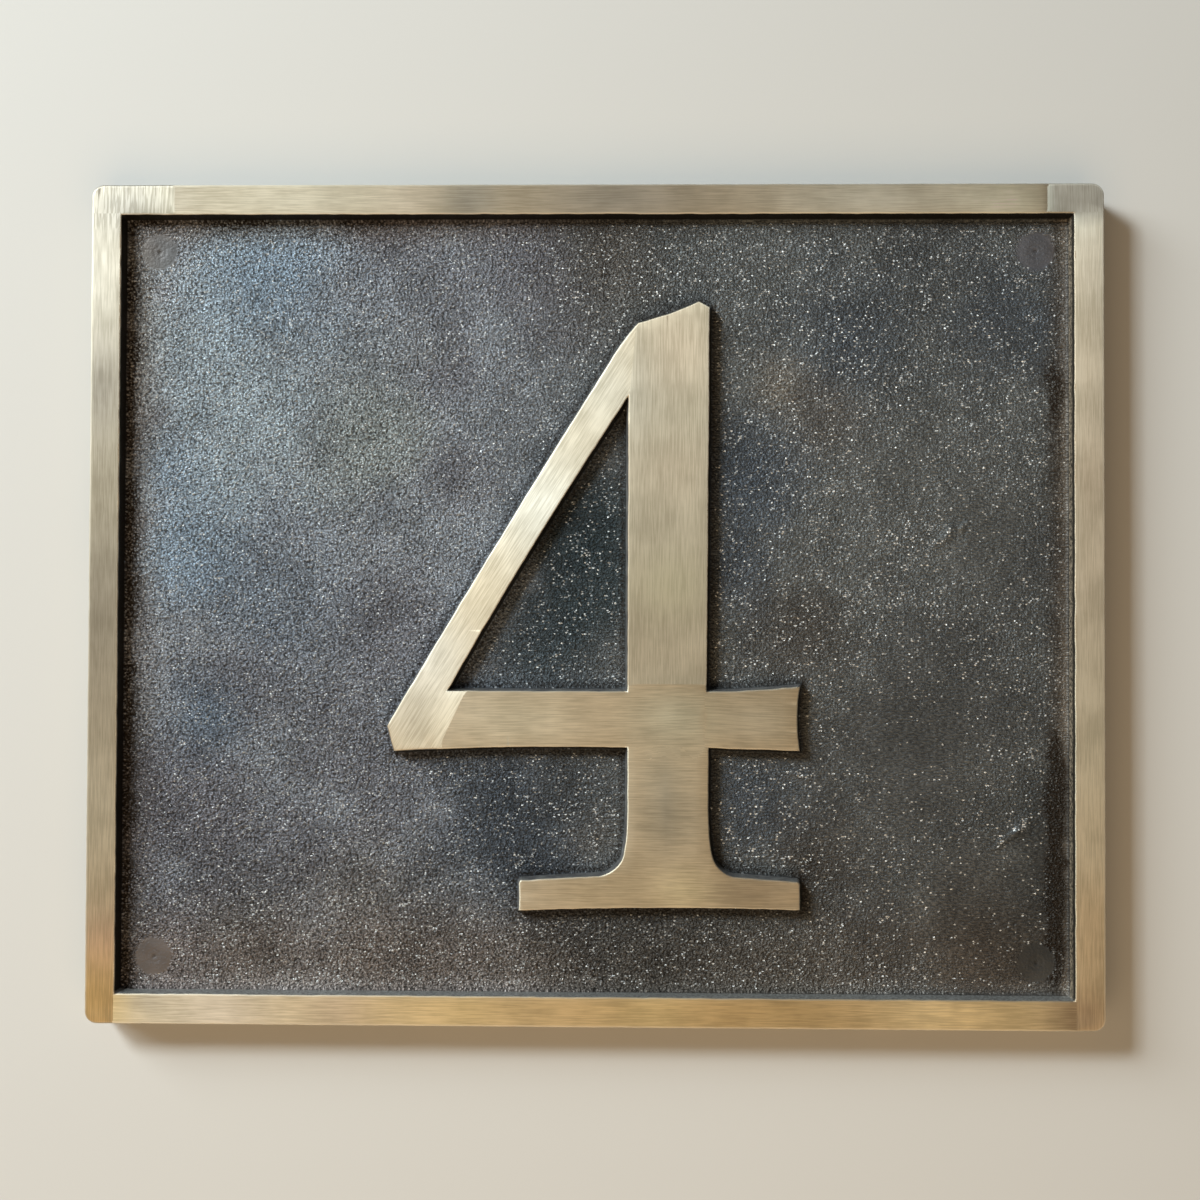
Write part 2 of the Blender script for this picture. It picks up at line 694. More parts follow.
plaqueLook = {
    "outlineStep": 0.6,          # mm between points along the outlines
    "sideStep": 0.9,
    "cornerTurn": 3,             # degrees
    "edgeWaver": 0.07,           # mm
    "sideWaver": 0.035,
    "waverFade": 0.6,            # share of the waver that is lost at the root
    "reliefHeight": 3.0,
    "faceStep": 2.4,             # mm between points of the polished faces
    "faceX": (-83.8, 84),
    "faceZ": (-69.3, 70),
    "faceMargin": 0.8,           # mm between the rim's edge and the first of them
    "lineMargin": 0.3,           # mm between a cut line and the inner edge
    "railMargin": 0.5,           # mm between a cut line and the outer edge
    "faceSink": 0.006,
    "grainStep": 0.57,           # mm between points of the ground
    "grainJitter": 0.22,         # as a share of that step
    "rowStep": 0.866,
    "rootMargin": 0.3,           # mm between a root and the first of these points
    "seatMargin": 0.25,
    "groundTop": 2.5,            # the ground starts this far below the polished faces
    "rootFade": (0.45, 1.2),     # share of its lumps left at a root, and mm to their full height
    "slopeShare": 0.5,           # share of them on a sloping root
    "seatFade": (0.05, 0.6),     # mm from a seat where they start and are full
    "backStep": 4.5,             # mm between points of the back
    "backX": (-81, 82),
    "backZ": (-67, 68),
    "screwX": 74.2,
    "screwZ": 59.7,
    "seatSegments": 48,
    "seatRadius": 2.9,
    "seatSink": 0.048,           # the ground dips this far round the screw heads
    "dishWidth": 1.8,
    "lipRadius": 2.68,           # patina that bridges the joint round the screw heads
    "lipSink": 0.049,
    "lipUnder": 0.08,
    "seatLand": 0.25,
    "holeRadius": 1.7,
}
groundPart, bronzePart, wallPart, castingPart = range(4)      # numbers of the plaque's finishes
# Section of a raised edge: distance out from the polished face and depth below it, mm
reliefSection = [(-0.08, 0.0), (0.03, 0.012), (0.11, 0.05), (0.2, 0.18), (0.35, 1.0), (0.46, 1.8),
                 (0.57, 2.55), (0.68, 2.82), (0.86, 2.95), (1.08, 3.0)]
sideSection = [(-0.16, 0.0), (0.0, 0.02), (0.12, 0.07), (0.2, 0.2), (0.2, 2.6), (0.2, 5.2), (0.2, 7.8),
               (0.0, 8.0)]
polishedStrips = 3               # strips of a section that still shine
rootStrip = 6                    # from here down the section belongs to the ground
edgeWear = {1: 0.35, 2: 0.6, 3: 0.3}      # bare metal on the rings of a section
numeralReach = (40, 52)          # mm across and up from the middle, past the numeral's edges
groundLevel = frontLevel + plaqueLook["reliefHeight"]

# Soft clouds on the ground: x, z, reach in mm, tone, strength
patinaTones = {
    "slate": (0.380, 0.425, 0.490),
    "steel": (0.370, 0.510, 0.670),
    "ice": (0.540, 0.655, 0.750),
    "moss": (0.405, 0.460, 0.455),
    "plum": (0.170, 0.165, 0.195),
    "earth": (0.105, 0.092, 0.080),
    "tan": (0.310, 0.270, 0.215),
    "olive": (0.116, 0.128, 0.134),
    "navy": (0.056, 0.073, 0.098),
    "night": (0.065, 0.073, 0.080),
    "umber": (0.046, 0.040, 0.034),
    "teal": (0.013, 0.031, 0.040),
    "coal": (0.036, 0.042, 0.046),
    "dusk": (0.170, 0.250, 0.350),
}
patinaClouds = [
    (-57, 56, 12, "steel", 1.7), (-61, 35, 14, "ice", 1.9), (-38, 28, 12, "moss", 0.9),
    (-42, 50, 12, "slate", 0.7), (-20, 55, 12, "slate", 0.3), (1, 60, 12, "earth", 0.6),
    (-70, 9, 10, "steel", 0.9), (-60, -14, 11, "plum", 0.45), (-52, 6, 10, "slate", 0.5),
    (-35, -2, 12, "plum", 0.5), (-41, -23, 12, "plum", 0.35), (-50, -40, 12, "plum", 0.5),
    (-58, -57, 13, "earth", 0.7), (-30, -57, 13, "earth", 0.7), (-41, -48, 8, "tan", 0.3),
    (-3, 10, 10, "teal", 1.9), (-6, -3, 9, "teal", 1.3), (24, 21, 9, "navy", 1.6),
    (23, 7, 8, "navy", 0.8), (31.5, 37, 5, "tan", 0.2), (39, 32, 6, "earth", 0.5),
    (43, 45, 10, "navy", 0.6), (54, 57, 12, "night", 0.5), (70, 47, 11, "navy", 0.7),
    (64, 34, 12, "olive", 0.7), (51, 17, 14, "olive", 0.7), (60, -14, 16, "night", 0.9),
    (54, -31, 16, "night", 1.0), (35, -4, 9, "umber", 0.7), (-15, -33, 11, "navy", 1.9),
    (-1, -39, 5, "tan", 0.12), (26, -33, 9, "navy", 1.0), (37, -26, 9, "night", 0.9),
    (37, -44, 8, "umber", 0.9), (52, -56, 12, "night", 0.7), (66, -58, 12, "umber", 0.9),
    (12, -57, 12, "night", 0.2), (-9, -59, 8, "tan", 0.08), (-36, 12, 9, "slate", 0.5),
    (14, 58, 10, "olive", 0.4), (-70, -35, 13, "plum", 1.0), (-72, -55, 11, "plum", 0.5),
    (-14, 58, 11, "plum", 0.8), (-12, -41, 8, "navy", 1.2), (-12, -9, 8, "teal", 0.8),
    (-66, 20, 9, "ice", 0.6), (-30, -33, 10, "plum", 0.2), (-6, -32, 8, "night", 1.8),
    (-5, -56, 9, "night", 0.5), (-72, 44, 9, "ice", 0.9),
    (-64, 54, 11, "ice", 0.7), (-25, 40, 9, "plum", 0.4), (-24, 22, 8, "plum", 0.4),
    (77, -34, 9, "coal", 1.6), (77, -51, 9, "coal", 1.6), (76, 8, 8, "night", 0.8),
    (-65, -19, 7, "dusk", 0.9), (-72, 22, 8, "steel", 0.8),
    (-55, 3, 14, "dusk", 0.4), (-35, 60, 10, "plum", 0.5),
]
# Where the casting is smooth: x, z, reach, strength
smoothPatches = [(54, -24, 22, 0.95), (66, 12, 14, 0.7), (62, -50, 20, 0.85), (52, 22, 12, 0.5),
                 (75, -42, 13, 0.85), (30, 0, 9, 0.25), (68, 46, 12, 0.3)]
# Share of the ground's tone left on the smooth discs round the screws, by side: 1 is right or up
discShades = {
    (-1, 1): (0.24, 0.22, 0.20),
    (1, 1): (1.22, 1.13, 1.20),
    (-1, -1): (0.48, 0.49, 0.49),
    (1, -1): (0.62, 0.68, 0.74),
}
# Rough patches where the mould broke away: x, z, reach
flawPatches = [(-0.6, 7.6, 2.2)]
# Short ragged ridges rubbed bright: start, end, half width, share of bright grains
flawRidges = [((72.1, -36.3), (71.0, -37.4), 0.9, 0.95), ((71.0, -37.4), (67.8, -40.4), 0.45, 0.7),
              ((61.6, 13.4), (59.6, 13.0), 0.35, 0.8), ((59.4, 12.2), (57.8, 10.6), 0.7, 0.6),
              ((-5.8, -38.6), (-3.0, -37.6), 0.6, 0.7), ((-3.0, -37.6), (0.2, -38.4), 0.5, 0.7),
              ((-1.0, -39.6), (0.4, -40.4), 0.5, 0.6), ((-5.6, -40.4), (-4.8, -41.0), 0.5, 0.5),
              ((37.5, -50.0), (38.3, -51.0), 0.6, 0.7), ((32.5, -28.4), (36.5, -28.8), 0.5, 0.5)]
# Lumps of the ground: strength, size in mm and seed of each layer
groundLayers = {
    "swell": [(0.06, 24, 1), (0.04, 8, 2)],
    "grit": [(0.04, 2.6, 3), (0.06, 1.3, 4)],
    "coarseGrit": [(0.13, 1.5, 5)],
    "cloudEdge": [(0.35, 9.0, 21), (0.2, 3.5, 22)],
    "mottle": [(0.16, 5, 23), (0.12, 2, 24)],
    "patchGrit": [(1.0, 0.9, 33)],
    "ridgeGrit": [(0.6, 0.8, 35)],
    "grimePatches": [(0.45, 6, 41), (0.35, 2.2, 42)],
    "cakeEdge": [(0.6, 1.8, 43)],
    "discEdge": [(0.3, 1.3, 44)],
}
groundForm = {
    "gritOnRight": 0.35,         # share of the grit on the left
    "gritOnSmooth": 0.15,
    "crack": ((-53.7, -2.7), (-49.5, -10.3)),
    "crackWander": (0.9, 31),    # mm and seed
    "crackDepth": 0.26,          # mm
    "crackWidth": 0.42,
    "crackLip": 0.12,
    "lipPlace": 0.9,
    "lipWidth": 0.5,
    "patchRing": 0.75,           # share of a rough patch's reach
    "patchFlatness": 1.4,
    "patchRise": 0.16,
    "patchSink": 0.08,
    "ridgeWander": (0.4, 34),
    "ridgeRise": 0.25,
}
dirtLook = {
    "smoothDisc": (2.8, 3.7),    # mm from a screw's middle
    "tonedDisc": (2.9, 3.8),
    "film": (1.10, 0.93, 0.80),  # brown film over the edges of the ground
    "filmLeft": 4.5,             # mm that it reaches in from the foot of the rim
    "filmTop": 2.8,
    "filmRight": 2.0,
    "cakeReach": 1.5,            # caked dirt along the right side of the rim
    "cakeBase": 0.5,
    "grimeBase": 0.92,
    "grimeLeft": 1.35,
    "grimeLeftWidth": 0.6,
    "grimeLeftFade": 1.9,
    "grimeTopFade": 3.0,
    "grimeTopPower": 1.4,
    "grimeTopRight": 0.35,       # share of the grime along the top left
    "grimeLee": 0.22,
    "leeShift": (-1.0, 0.45),    # mm towards the light
    "leeGaps": (0.6, 1.3),       # mm from the numeral
    "grimeRoot": 0.65,
    "rootGaps": (0.2, 0.7),
    "sandOnRight": 0.27,
    "sandAlongFoot": 0.45,
    "glintShare": 0.22,
    "rimFoot": 6.1,              # mm in from the edge of the plate
}
# Thick stretches of that caked dirt: z where each fades in and out, and how much it adds
cakedStretches = [(-66, -60, -30, -18, 1.5), (29, 34, 38, 45, 0.7)]
rootX = plaqueHigh.x / mm - dirtLook["rimFoot"]
rootZ = plaqueHigh.z / mm - dirtLook["rimFoot"]


def screwPlaces():
    x, z = plaqueLook["screwX"], plaqueLook["screwZ"]
    return [(-x, -z), (-x, z), (x, -z), (x, z)]


def screwGap(x, z):
    return np.min([np.hypot(x - cx, z - cz) for cx, cz in screwPlaces()], axis=0)


# How far a spot is inside the smooth, ragged disc round a screw, 0 to 1
def inDisc(x, z, edge):
    return 1 - eased(screwGap(x, z) + layered(x, z, groundLayers["discEdge"]), *edge)


def cloudReach(x, z, cx, cz, reach):
    wander = 1 + layered(x, z, groundLayers["cloudEdge"])
    gap = np.hypot(x - cx, z - cz) / (reach * wander)
    return np.exp(-1.6 * gap * gap)


def smoothness(x, z):
    amount = np.zeros_like(x)
    for cx, cz, reach, strength in smoothPatches:
        amount = np.maximum(amount, strength * cloudReach(x, z, cx, cz, reach))
    return np.maximum(amount, inDisc(x, z, dirtLook["smoothDisc"]))


# Distance from a wandering stroke, and how far past its ends
def strokeGap(x, z, start, end, wander, seed):
    (ax, az), (bx, bz) = start, end
    length = math.hypot(bx - ax, bz - az)
    ux, uz = (bx - ax) / length, (bz - az) / length
    along = (x - ax) * ux + (z - az) * uz
    across = (z - az) * ux - (x - ax) * uz + wander * lumps(along, along * 0, 1.4, seed)
    past = np.maximum(0, np.maximum(-along, along - length))
    return across, past


# Distance from the middle of a rough patch, as a share of its reach
def patchGap(x, z, patch):
    cx, cz, reach = patch
    return np.hypot(x - cx, (z - cz) * groundForm["patchFlatness"]) / reach


def onRidge(x, z, start, end, width):
    across, past = strokeGap(x, z, start, end, *groundForm["ridgeWander"])
    return bell(across / width) * bell(past)


# Height of the ground above its level, mm: uneven casting, sand and flaws
def groundRise(x, z):
    form = groundForm
    spread = form["gritOnRight"] + (1 - form["gritOnRight"]) * eased(-x, -40, 50)
    rough = spread * (1 - (1 - form["gritOnSmooth"]) * smoothness(x, z))
    # coarser up the left side and along the top
    coarse = np.maximum(eased(-x, 62, 78) * eased(z, 10, 55), eased(z, 50, 63) * eased(-x, 0, 40))
    rise = layered(x, z, groundLayers["swell"]) + rough * layered(x, z, groundLayers["grit"])
    rise = rise + coarse * layered(x, z, groundLayers["coarseGrit"])
    # crack in the left half, with a lip
    across, past = strokeGap(x, z, *form["crack"], *form["crackWander"])
    rise -= form["crackDepth"] * bell(across / form["crackWidth"]) * bell(past)
    rise += form["crackLip"] * bell((across - form["lipPlace"]) / form["lipWidth"]) * bell(past)
    # rough patches where the mould broke away
    for patch in flawPatches:
        gap = patchGap(x, z, patch)
        ring = bell((gap - form["patchRing"]) / 0.35)
        grit = np.clip(layered(x, z, groundLayers["patchGrit"]) + 0.3, 0, 1)
        rise += form["patchRise"] * ring * grit - form["patchSink"] * np.exp(-3 * gap * gap)
    for start, end, width, _ in flawRidges:
        grit = 1 + layered(x, z, groundLayers["ridgeGrit"])
        rise += form["ridgeRise"] * onRidge(x, z, start, end, width) * grit
    return rise


# Dirt caked along the right side of the rim
def cakedRim(x, z):
    thick = dirtLook["cakeBase"]
    for inStart, inEnd, outStart, outEnd, amount in cakedStretches:
        thick = thick + amount * eased(z, inStart, inEnd) * eased(-z, -outEnd, -outStart)
    reach = dirtLook["cakeReach"]
    return thick * bell((rootX - x - reach) / (reach + layered(x, z, groundLayers["cakeEdge"])))


# How much brown film lies on the ground, 0 to 1
def brownFilm(x, z):
    look = dirtLook
    left = (0.35 + 0.65 * eased(z, -30, 30)) * bell((x + rootX) / look["filmLeft"])
    top = eased(-x, -10, 40) * bell((rootZ - z) / look["filmTop"])
    right = bell((rootX - x) / look["filmRight"])
    bottom = eased(-z, 46, 60) * (1 - 0.5 * eased(x, 35, 65))
    return np.maximum.reduce([left, top, right, bottom])


def groundTones(x, z):
    weight = np.full(len(x), 0.35)
    rightward = eased(x, -28, 8)[:, None]
    base = (1 - rightward) * np.array(patinaTones["slate"]) + rightward * np.array(patinaTones["olive"])
    colour = weight[:, None] * base
    for cx, cz, reach, tone, strength in patinaClouds:
        share = strength * cloudReach(x, z, cx, cz, reach)
        weight = weight + share
        colour = colour + share[:, None] * np.array(patinaTones[tone])
    shade = np.zeros((len(x), 3))
    for (right, up), tone in discShades.items():
        share = eased(right * x, -20, 20) * eased(up * z, -20, 20)
        shade += share[:, None] * np.array(tone)
    disc = inDisc(x, z, dirtLook["tonedDisc"])[:, None]
    # sand piled up in the foot of the rim is paler
    piled = 0.5 * bell((z + rootZ) / 1.3) + 0.4 * bell((rootX - x) / 0.5)
    mottle = 1 + layered(x, z, groundLayers["mottle"]) + piled
    film = 1 + brownFilm(x, z)[:, None] * (np.array(dirtLook["film"]) - 1)
    return colour / weight[:, None] * mottle[:, None] * film * (1 - disc * (1 - shade))


# Dark deposits along the rails, round the numeral's root and in its lee
def groundGrime(x, z, numeralGap, leeGap):
    look = dirtLook
    fromLeft = np.maximum(0, x + np.max(x) - look["grimeLeftWidth"])
    left = look["grimeLeft"] * bell(fromLeft / look["grimeLeftFade"])
    fromTop = np.maximum(0, np.max(z) - z)
    top = np.exp(-(fromTop / look["grimeTopFade"]) ** look["grimeTopPower"])
    top *= look["grimeTopRight"] + (1 - look["grimeTopRight"]) * eased(-x, 10, 45)
    lee = look["grimeLee"] * (1 - eased(leeGap, *look["leeGaps"]))
    root = look["grimeRoot"] * (1 - eased(numeralGap, *look["rootGaps"]))
    patches = look["grimeBase"] + layered(x, z, groundLayers["grimePatches"])
    dirt = np.maximum.reduce([left, top, cakedRim(x, z), lee]) * patches
    return np.clip(np.maximum(dirt, root), 0, 1)


# How sandy the ground is, 0 to 1
def groundGrain(x, z):
    look = dirtLook
    acrossPlate = look["sandOnRight"] + (1 - look["sandOnRight"]) * eased(-x, -40, 40)
    alongFoot = look["sandAlongFoot"] * eased(-z, 38, 54) * (1 - eased(x, 25, 65))
    sandy = np.clip(acrossPlate + alongFoot, 0, 1) * (1 - smoothness(x, z))
    return np.maximum(sandy, np.clip(cakedRim(x, z) - 0.4, 0, 0.9))


# Share of the grains that are rubbed bright
def groundGlint(x, z):
    topLeft = eased(-x, 0, 55) * eased(z, -30, 25)
    foot = eased(-z, 40, 52) * eased(-x, -20, 20)
    share = (dirtLook["glintShare"] - 0.03 * topLeft + 0.08 * foot) * (1 - 0.9 * smoothness(x, z))
    share += 0.2 * np.clip(cakedRim(x, z) - 0.4, 0, 1) + 0.15 * bell((z + rootZ) / 0.8)
    for patch in flawPatches:
        ring = bell((patchGap(x, z, patch) - groundForm["patchRing"]) / 0.4)
        share = np.maximum(share, 0.6 * ring)
    for start, end, width, bright in flawRidges:
        share = np.maximum(share, bright * onRidge(x, z, start, end, width))
    return share


# Tarnish and wear on the polished faces: x, z, reach across and up in mm, tint
metalTones = [
    (-78, 68, 9, 6, (0.78, 0.80, 0.88)), (-48, 68, 24, 5, (1.12, 1.20, 1.30)),
    (-21, 68, 5, 5, (0.72, 0.76, 0.84)), (4, 68, 15, 6, (0.83, 0.90, 1.05)),
    (46, 68, 20, 6, (1.40, 1.64, 2.02)), (71, 68, 12, 5, (1.56, 1.82, 2.15)),
    (-83, 56, 5, 13, (1.10, 1.15, 1.28)), (-83, 36, 5, 11, (0.75, 0.76, 0.82)),
    (-83, 0, 5, 24, (0.74, 0.74, 0.77)), (-83, -36, 5, 13, (1.14, 1.20, 1.27)),
    (-82, -57, 4, 5, (1.08, 0.97, 1.00)), (-83, -66, 6, 8, (1.22, 1.08, 0.78)),
    (15, -68, 65, 5, (1.04, 0.92, 0.68)), (-62, -68, 10, 5, (1.02, 1.05, 1.18)),
    (-30, -68, 14, 5, (1.12, 1.10, 1.03)), (-42, -68, 6, 4, (0.90, 0.90, 1.00)),
    (54, -68, 9, 4, (1.42, 1.50, 1.52)), (70, -68, 8, 5, (1.28, 1.32, 1.28)),
    (81, -68, 5, 4, (0.70, 0.68, 0.76)), (-76, -67, 4, 2.5, (0.75, 0.78, 0.85)),
    (83, 58, 4, 8, (1.12, 1.14, 1.20)), (83, 25, 4, 40, (1.15, 1.10, 1.10)),
    (83, -25, 4, 18, (1.10, 1.15, 1.18)), (83, -52, 4, 20, (1.00, 0.94, 0.86)),
    (-9, 16, 9, 11, (1.13, 1.24, 1.44)), (2, 36, 8, 9, (1.00, 1.05, 1.14)),
    (-27, -9, 7, 8, (1.05, 1.13, 1.30)), (-32, -19, 6, 6, (0.84, 0.85, 0.88)),
    (14, 43, 7, 8, (1.08, 1.03, 1.02)), (13, -36, 9, 7, (0.87, 0.93, 1.00)),
    (12, -28, 7, 4, (1.05, 1.11, 1.18)), (14, -19, 8, 5, (1.03, 1.17, 1.28)),
    (29, -19, 6, 5, (1.05, 1.14, 1.26)), (-12, -19, 11, 5, (1.14, 1.22, 1.30)),
    (27, -48, 10, 5, (0.78, 0.77, 0.77)), (15, -48, 5, 4, (1.22, 1.27, 1.22)),
    (-11, -48, 4, 4, (0.92, 0.93, 0.95)), (3, -48, 7, 5, (0.89, 0.89, 0.86)),
    (-31, 68, 5, 5, (1.16, 1.17, 1.24)), (35, -68, 9, 4, (0.84, 0.86, 0.88)),
    (61, -68, 6, 4, (1.18, 1.18, 1.14)), (10, -68, 7, 4, (1.09, 1.14, 1.12)),
    (-21, -68, 6, 4, (0.91, 0.92, 0.90)), (83, 21, 4, 6, (0.90, 0.88, 0.86)),
    (83, -42, 4, 6, (1.07, 1.11, 1.16)), (23, -19, 4, 5, (0.88, 0.88, 0.88)),
    (12, -33, 2, 7, (0.88, 0.90, 0.94)), (14, 23, 7, 6, (1.09, 1.06, 1.06)),
    (13, 3, 7, 6, (0.94, 0.96, 0.90)),
]
cornerTone = (0.63, 0.64, 0.70)  # tarnished end of the top rail on the right


def metalTint(x, z):
    tint = np.ones((len(x), 3))
    for cx, cz, reachX, reachZ, colour in metalTones:
        share = bell((x - cx) / reachX) * bell((z - cz) / reachZ)
        tint += share[:, None] * (np.array(colour) - 1)
    corner = (eased(x, 73.5, 77.5) * eased(z, 63, 66.5))[:, None]
    return tint * (1 - corner) + corner * np.array(cornerTone)


# Directions of the brush marks in degrees, by zone
rimStrokes = {"rail": 0, "stile": 90, "topLeft": 88, "topRight": 92}
rimZones = {"topLeftEnd": -71.0, "topRightStart": 75.6}      # x where the marks turn on the top rail, mm
numeralStrokes = {"slant": 58, "stem": 90, "bar": 1, "barEnd": -2, "foot": 0}
numeralZones = {
    "barTop": -13.4,             # z where the stem's marks stop, mm
    "stemLine": (6.7, 18.8),     # x of the ends of that line
    "barBottom": -24.6,
    "barEndStart": 18.6,
    "barEndLine": (-15.6, -23.9),
    "headLow": (5.9, 35.2),      # the slant's marks meet the stem's along this line
    "headHigh": (7.0, 46.9),
    "toeStart": (-21.8, -15.6),
    "toeEnd": (-25.2, -22.8),
}


def rimStroke(x, z, halfX, halfZ):
    if z > halfZ and x < rimZones["topLeftEnd"]:
        return rimStrokes["topLeft"]
    if z > halfZ and x > rimZones["topRightStart"]:
        return rimStrokes["topRight"]
    if abs(x) > halfX:
        return rimStrokes["stile"]
    return rimStrokes["rail"]


def numeralStroke(x, z):
    zone = numeralZones
    (ax, az), (bx, bz) = zone["toeStart"], zone["toeEnd"]
    toeSide = (x - ax) * (bz - az) - (z - az) * (bx - ax)
    if z < zone["barBottom"]:
        return numeralStrokes["foot"]
    if z > zone["barTop"]:
        (ax, az), (bx, bz) = zone["headLow"], zone["headHigh"]
        border = ax + (bx - ax) * (z - az) / (bz - az) if z > az else ax
        return numeralStrokes["stem"] if x > border else numeralStrokes["slant"]
    if toeSide > 0 and x < 0:
        return numeralStrokes["slant"]
    return numeralStrokes["barEnd"] if x > zone["barEndStart"] else numeralStrokes["bar"]


# Rings down a raised edge, joined into strips; sign is -1 where it faces into its outline
def raisedEdge(shape, outline, section, sign, step, lowFinish, waver):
    look = plaqueLook
    runs = outlineRuns(outline, step, look["cornerTurn"])
    rings = []
    for offset, depth in section:
        hold = waver * (1 - look["waverFade"] * min(1, depth / look["reliefHeight"]))
        flat = movedOutline(runs, sign * offset, hold)
        rings.append(addPoints(shape, flat[:, 0], frontLevel + depth, flat[:, 1]))
    for k in range(len(rings) - 1):
        finish = bronzePart if k < polishedStrips else lowFinish
        if lowFinish == wallPart and k >= rootStrip:
            finish = groundPart
        joinRings(shape, rings[k], rings[k + 1], finish, inward=sign < 0)
    return rings


def faceLevel(x, z):
    return frontLevel + plaqueLook["faceSink"] * (1 + lumps(x, z, 9, 51))


# Polished faces, cut along the lines where the brush marks turn
def addPolishedFaces(shape, rings, halfX, halfZ):
    look = plaqueLook
    step, gap, margin = look["faceStep"], look["lineMargin"], look["faceMargin"]
    free = gridSpots(np.arange(*look["faceX"], step), np.arange(*look["faceZ"], step))
    awayX, awayZ = np.abs(free).T
    railTop = plaqueHigh.z / mm - look["railMargin"]
    railEnd = plaqueHigh.x / mm - look["railMargin"]
    rimLines = [[(x, halfZ + gap), (x, railTop)] for x in rimZones.values()]
    rimLines += [[(x, -halfZ - gap), (x, -railTop)] for x in (-halfX, halfX)]
    rimLines += [[(-railEnd, halfZ), (-halfX - gap, halfZ)], [(halfX + gap, halfZ), (railEnd, halfZ)]]
    onRim = free[(awayX > halfX + margin) | (awayZ > halfZ + margin)]
    fillRings(shape, [rings["outer"][0], rings["inner"][0]], onRim, faceLevel, bronzePart,
              keepLines=rimLines)
    zone = numeralZones
    numeralLines = [
        [zone["toeStart"], zone["toeEnd"]],
        [zone["headLow"], zone["headHigh"]],
        [(x, zone["barTop"]) for x in zone["stemLine"]],
        [(zone["barEndStart"], z) for z in zone["barEndLine"]],
    ]
    onNumeral = free[(awayX < numeralReach[0]) & (awayZ < numeralReach[1])]
    fillRings(shape, [rings["numeral"][0], rings["counter"][0]], onNumeral, faceLevel, bronzePart,
              keepLines=numeralLines)


# Seats for the screws: their upper rings, the ends of the holes and the faces to shade flat
def addScrewSeats(shape):
    look = plaqueLook
    turn = np.linspace(0, 2 * math.pi, look["seatSegments"], endpoint=False)
    seat, lip, hole = look["seatRadius"], look["lipRadius"], look["holeRadius"]
    # the lip's inner edge comes twice, so that its top is shaded flat
    section = [(seat, look["seatSink"]), (lip, look["lipSink"]), (lip, look["lipSink"]),
               (seat, look["lipUnder"]), (seat, look["seatLand"]), (hole, look["seatLand"] + seat - hole)]
    seats = []
    drillEnds = []
    flatFaces = []
    for cx, cz in screwPlaces():
        rings = [addCircle(shape, cx, cz, r, groundLevel + depth, turn) for r, depth in section]
        rings.append(addCircle(shape, cx, cz, hole, backLevel, turn))
        joinRings(shape, rings[0], rings[1], groundPart, inward=True)
        start = len(shape["faces"])
        for upper, lower in zip(rings[2:], rings[3:]):
            joinRings(shape, upper, lower, castingPart, inward=True)
        flatFaces += range(start, len(shape["faces"]))
        seats.append(rings[0])
        drillEnds.append(rings[-1])
    return seats, drillEnds, flatFaces


# Distances from the foot of the rim and from the foot of the numeral
def rootGaps(shape, roots, spots):
    placed = np.concatenate(shape["points"])
    rim, numeral, counter = [placed[ring][:, [0, 2]] for ring in roots]
    rimGap = np.min(np.max(rim, axis=0) - np.abs(spots), axis=1)
    return rimGap, nearestGap(spots, numeral, counter)


# Sandy grid between the roots of the rim and the numeral
def addGround(shape, roots, seats, halfX, halfZ):
    look = plaqueLook
    step = look["grainStep"]
    random = np.random.default_rng(7)
    rows = np.arange(-halfZ, halfZ, step * look["rowStep"])
    columns = np.arange(-halfX, halfX, step)
    free = gridSpots(columns, rows)
    free[:, 0] += np.repeat(np.arange(len(rows)) % 2, len(columns)) * step / 2
    free += random.uniform(-look["grainJitter"], look["grainJitter"], free.shape) * step
    rimGap, numeralGap = rootGaps(shape, roots, free)
    clear = np.minimum(rimGap, numeralGap) > look["rootMargin"]
    clear &= screwGap(*free.T) > look["seatRadius"] + look["seatMargin"]
    fillRings(shape, roots + seats, free[clear], groundLevel, groundPart)


# Back, on rings of its own so that it is shaded flat
def addBack(shape, edges):
    step = plaqueLook["backStep"]
    placed = np.concatenate(shape["points"])
    rings = [addPoints(shape, *placed[ring].T) for ring in edges]
    free = gridSpots(np.arange(*plaqueLook["backX"], step), np.arange(*plaqueLook["backZ"], step))
    fillRings(shape, rings, free, backLevel, castingPart, facing=-1)


# Sinks and raises the ground, and says which points it has and how far they are from the roots
def shapeGround(shape, roots, sideRings):
    look = plaqueLook
    points = np.concatenate(shape["points"])
    low = points[:, 1] - frontLevel
    onGround = (low > look["groundTop"]) & (low < look["reliefHeight"] + 0.001)
    for ring in sideRings:
        onGround[ring] = False
    spots = points[onGround][:, [0, 2]]
    x, z = spots.T
    rimGap, numeralGap = rootGaps(shape, roots, spots)
    edgeGap = np.minimum(rimGap, numeralGap)
    seatGap = screwGap(x, z) - look["seatRadius"]
    isFlat = np.abs(low[onGround] - look["reliefHeight"]) < 0.001
    share, fade = look["rootFade"]
    rise = groundRise(x, z) * (share + (1 - share) * eased(edgeGap, 0.0, fade))
    rise *= np.where(isFlat, 1.0, look["slopeShare"]) * eased(seatGap, *look["seatFade"])
    rise -= look["seatSink"] * (1 - eased(seatGap, 0.0, look["dishWidth"])) * (seatGap > 0.01)
    points[onGround, 1] -= rise
    shape["points"] = [points]
    return onGround, numeralGap, edgeGap


